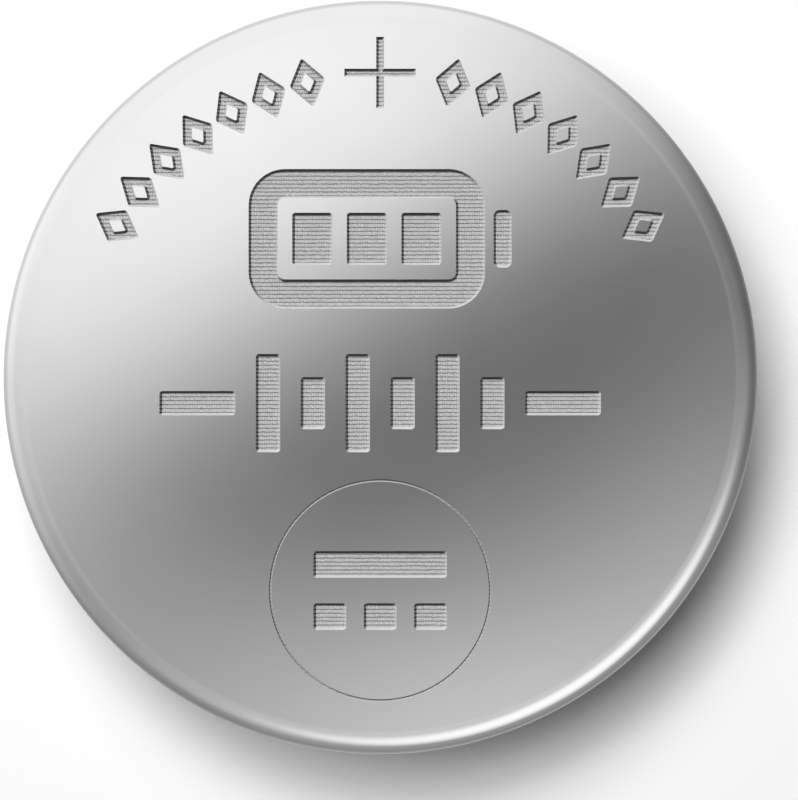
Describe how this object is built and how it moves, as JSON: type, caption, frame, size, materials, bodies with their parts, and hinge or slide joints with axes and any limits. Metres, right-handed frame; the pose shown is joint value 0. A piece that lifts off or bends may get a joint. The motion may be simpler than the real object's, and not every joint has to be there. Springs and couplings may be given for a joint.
{
  "type": "lithium coin cell",
  "caption": "Round flat lithium coin cell: drawn stainless can crimped over a moulded gasket and a stepped cap, with mesh collector, cathode pellet, separator and lithium disc inside.",
  "frame": {"origin": "centre of the negative cap's contact face, on which the cell lies", "axes": "+Z along the cell's axis, from the negative cap up to the positive face; +Y towards the polarity mark on the positive face"},
  "size_m": [0.0125, 0.0124, 0.0025],
  "materials": {
    "can_steel": "satin, drawn stainless sheet",
    "cap_steel": "satin, drawn stainless sheet",
    "gasket_polypropylene": "moulded, slightly waxy",
    "mesh_steel": "expanded stainless mesh",
    "cathode_mix": "pressed powder, matt",
    "separator_fibre": "non-woven, matt",
    "lithium_metal": "dull, soft punched foil"
  },
  "bodies": {
    "root": {"positive_can": "can_steel", "negative_cap": "cap_steel", "sealing_gasket": "gasket_polypropylene", "current_collector": "mesh_steel", "cathode_pellet": "cathode_mix", "separator": "separator_fibre", "lithium_anode": "lithium_metal"}
  },
  "joints": []
}
